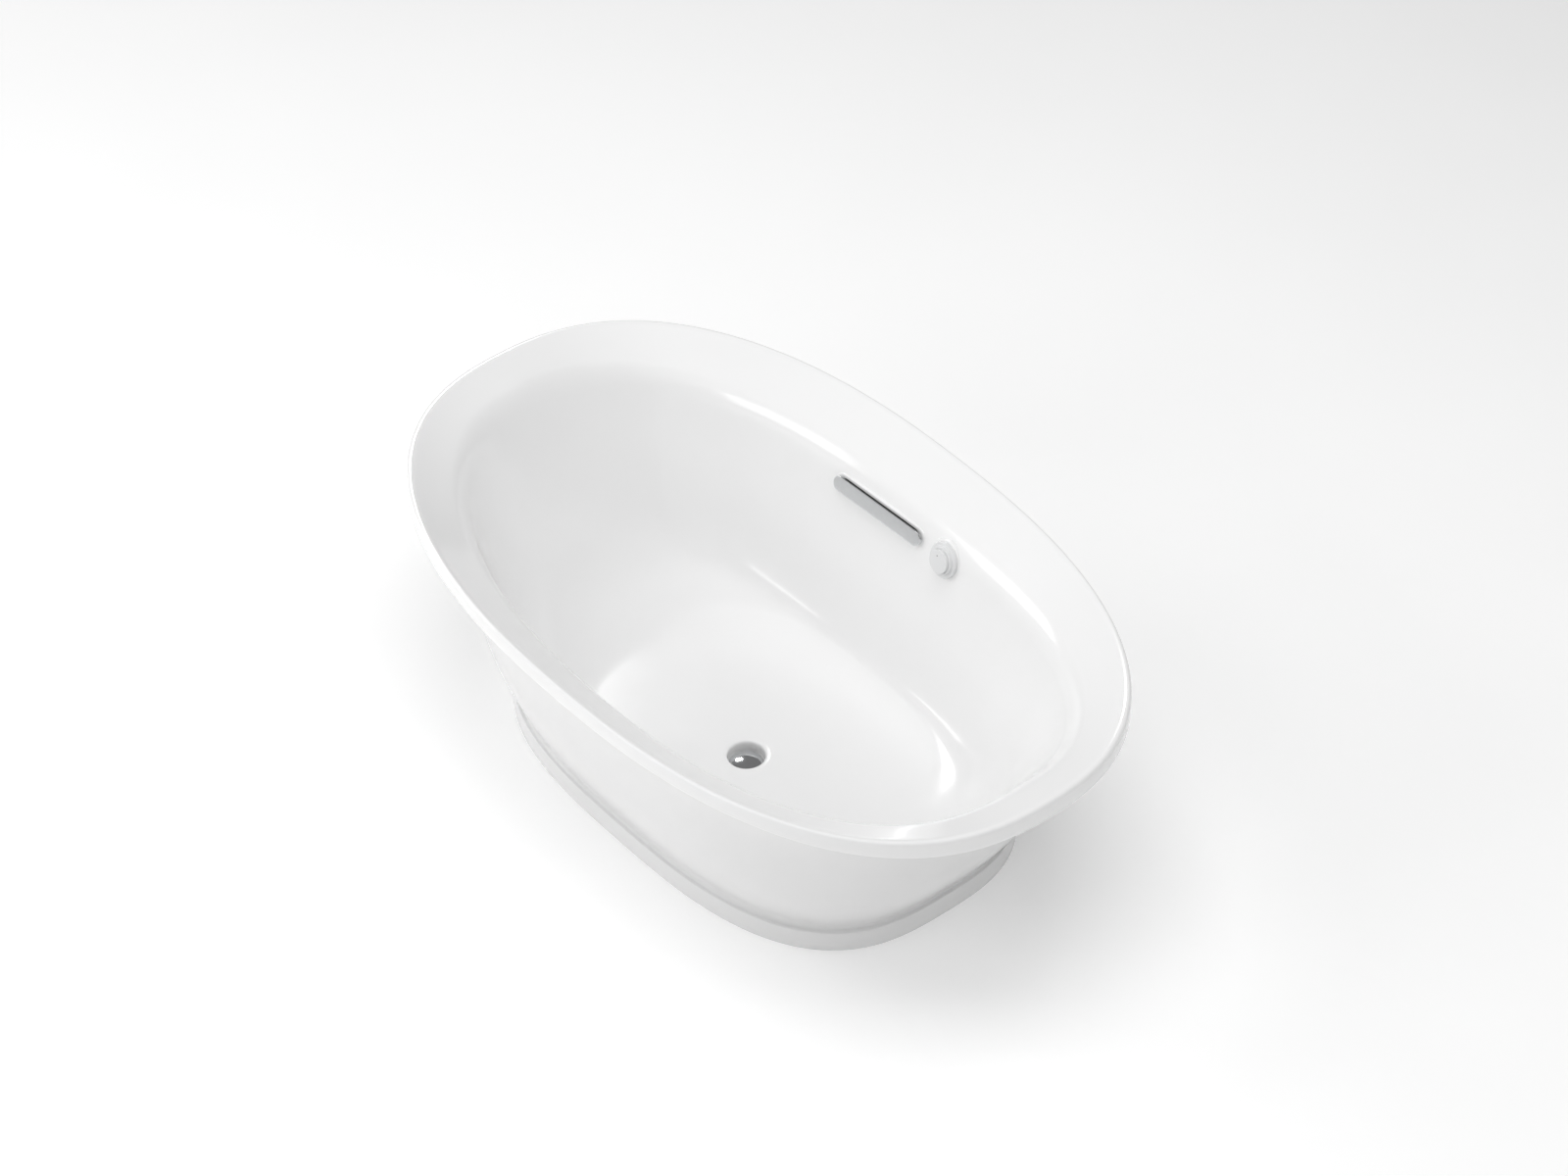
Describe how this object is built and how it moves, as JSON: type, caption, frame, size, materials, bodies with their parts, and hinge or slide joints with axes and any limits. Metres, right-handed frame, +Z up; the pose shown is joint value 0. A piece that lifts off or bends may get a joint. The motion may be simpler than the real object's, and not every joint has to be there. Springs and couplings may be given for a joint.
{
  "type": "freestanding bathtub",
  "caption": "Oval double-ended freestanding bathtub with a dished rim, separate outer shroud, lifting drain stopper, slotted wall overflow and a round push control.",
  "frame": {"origin": "on the floor, under the middle of the rim", "axes": "+X along the tub, +Y across it towards the wall with the overflow, +Z up"},
  "size_m": [1.676, 1.016, 0.5121],
  "materials": {
    "acrylic": "glossy white sanitary acrylic",
    "shroud_acrylic": "glossy white sanitary acrylic",
    "sealant": "white silicone",
    "plywood": "bare plywood",
    "zinc_steel": "zinc plated",
    "polished_chrome": "polished",
    "black_rubber": "matt",
    "black_plastic": "satin",
    "grey_plastic": "satin",
    "white_plastic": "gloss",
    "brass": "machined",
    "spring_steel": "bright wire",
    "silicone_pad": "moulded silicone rubber heating mat"
  },
  "bodies": {
    "tub": {"basin_shell": "acrylic", "outer_shroud": "shroud_acrylic", "rim_seal": "sealant", "spacer_blocks": "plywood", "floor_board": "plywood", "support_beam_left": "zinc_steel", "support_beam_right": "zinc_steel", "beam_screws": "zinc_steel", "leveller_nuts": "zinc_steel", "waste_flange": "polished_chrome", "waste_gasket": "black_rubber", "waste_shoe": "black_plastic", "stopper_cartridge": "brass", "overflow_cover": "polished_chrome", "overflow_gasket": "black_rubber", "overflow_housing": "black_plastic", "overflow_nuts": "zinc_steel", "overflow_pipe": "grey_plastic", "overflow_pipe_nut": "grey_plastic", "shoe_pipe_nut": "grey_plastic", "control_bezel": "white_plastic", "control_spring": "spring_steel", "control_gasket": "black_rubber", "control_nut": "grey_plastic", "control_switch": "black_plastic", "control_box": "grey_plastic", "control_box_lid": "grey_plastic", "supply_gland": "black_plastic", "control_cable": "black_plastic", "warming_pad_left": "silicone_pad", "warming_pad_right": "silicone_pad", "warming_cable_left": "black_plastic", "warming_cable_right": "black_plastic"},
    "stopper": {"stopper_cap": "polished_chrome", "stopper_seal": "black_rubber"},
    "push_cap": {"control_cap": "white_plastic"},
    "foot_front_left": {"leveller_front_left": "zinc_steel"},
    "foot_front_right": {"leveller_front_right": "zinc_steel"},
    "foot_back_left": {"leveller_back_left": "zinc_steel"},
    "foot_back_right": {"leveller_back_right": "zinc_steel"}
  },
  "joints": [
    {"name": "stopper_lift", "type": "slide", "parent": "tub", "child": "stopper", "axis": [0, 0, 1], "range_m": [0, 0.008]},
    {"name": "cap_press", "type": "slide", "parent": "tub", "child": "push_cap", "axis": [0.0377, 0.9659, -0.2561], "range_m": [0, 0.0025], "stiffness_N_per_m": 1200, "springref_m": -0.0015, "deforming": ["control_spring"]},
    {"name": "foot_front_left_wind", "type": "slide", "parent": "tub", "child": "foot_front_left", "axis": [0, 0, 1], "range_m": [0, 0.008]},
    {"name": "foot_front_right_wind", "type": "slide", "parent": "tub", "child": "foot_front_right", "axis": [0, 0, 1], "range_m": [0, 0.008]},
    {"name": "foot_back_left_wind", "type": "slide", "parent": "tub", "child": "foot_back_left", "axis": [0, 0, 1], "range_m": [0, 0.008]},
    {"name": "foot_back_right_wind", "type": "slide", "parent": "tub", "child": "foot_back_right", "axis": [0, 0, 1], "range_m": [0, 0.008]}
  ]
}
